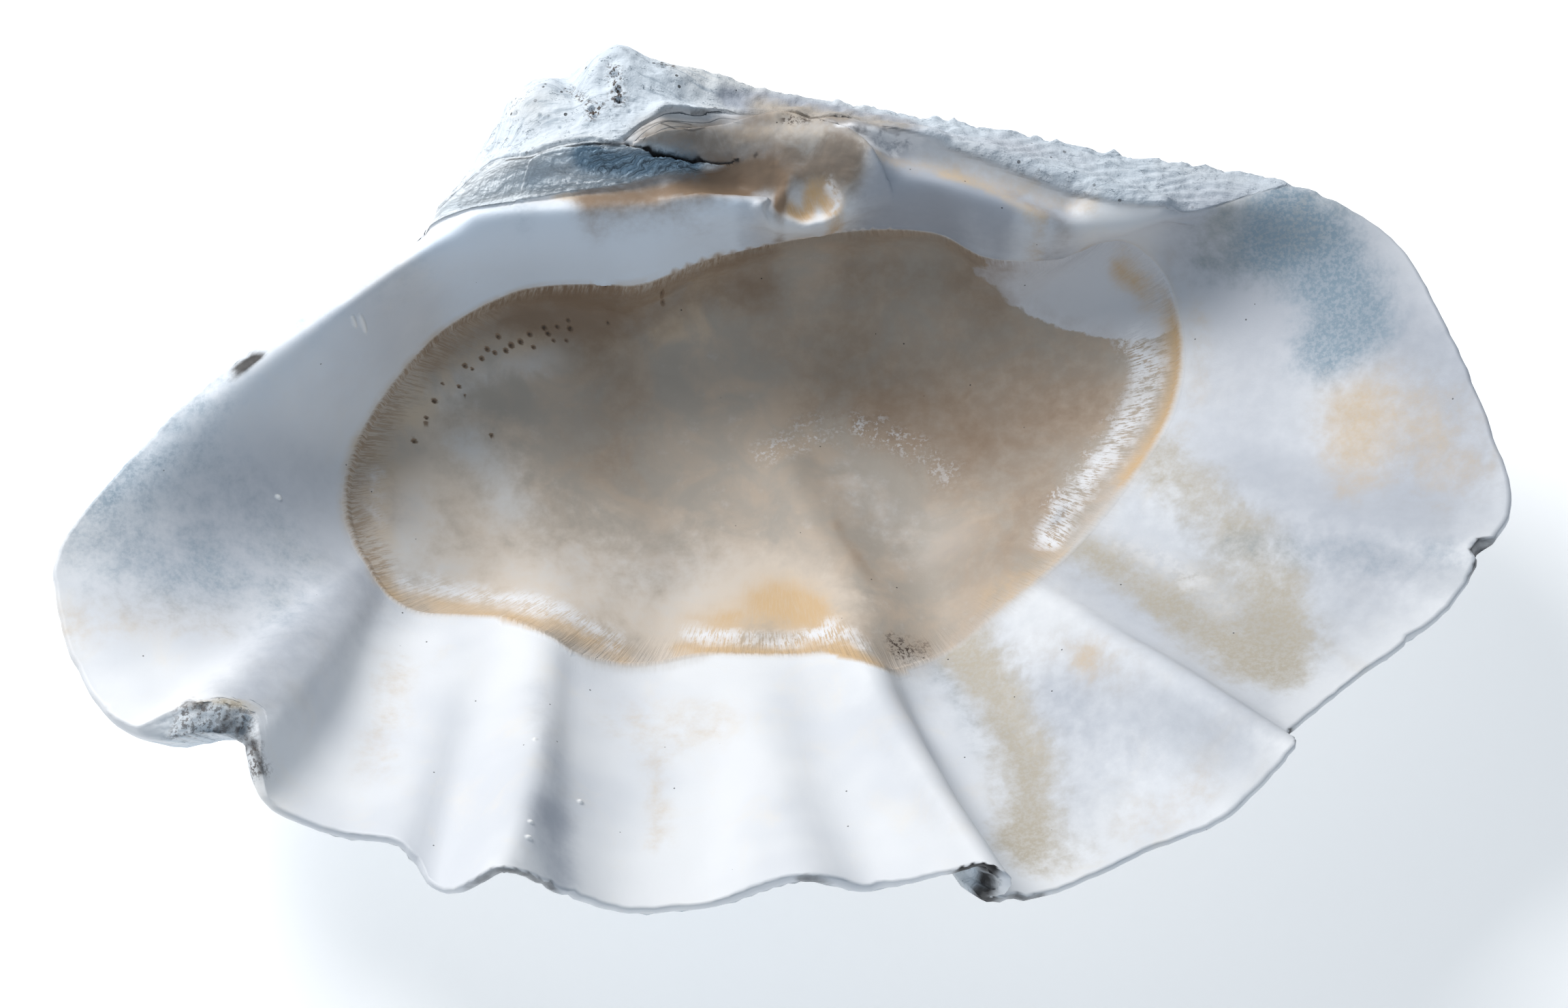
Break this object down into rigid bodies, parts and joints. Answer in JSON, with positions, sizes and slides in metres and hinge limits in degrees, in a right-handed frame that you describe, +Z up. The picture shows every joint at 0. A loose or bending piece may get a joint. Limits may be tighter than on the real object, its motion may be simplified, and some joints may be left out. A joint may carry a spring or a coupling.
{
  "type": "giant clam shell",
  "caption": "Single giant clam valve lying hollow side up: fluted margin, deep porcelain-white hollow, thick hinge and chalky umbo.",
  "frame": {"origin": "middle of the bounding box's bottom face, on the surface the shell rests on", "axes": "+X along the hinge towards the right end seen from the open margin, +Y from the fluted margin towards the umbo, +Z up out of the hollow"},
  "size_m": [0.7432, 0.4876, 0.1923],
  "materials": {
    "shell": "porcelain-white inside with a soft gloss and tan stains, matt chalky grey-white outside"
  },
  "bodies": {
    "root": {"valve": "shell"}
  },
  "joints": []
}
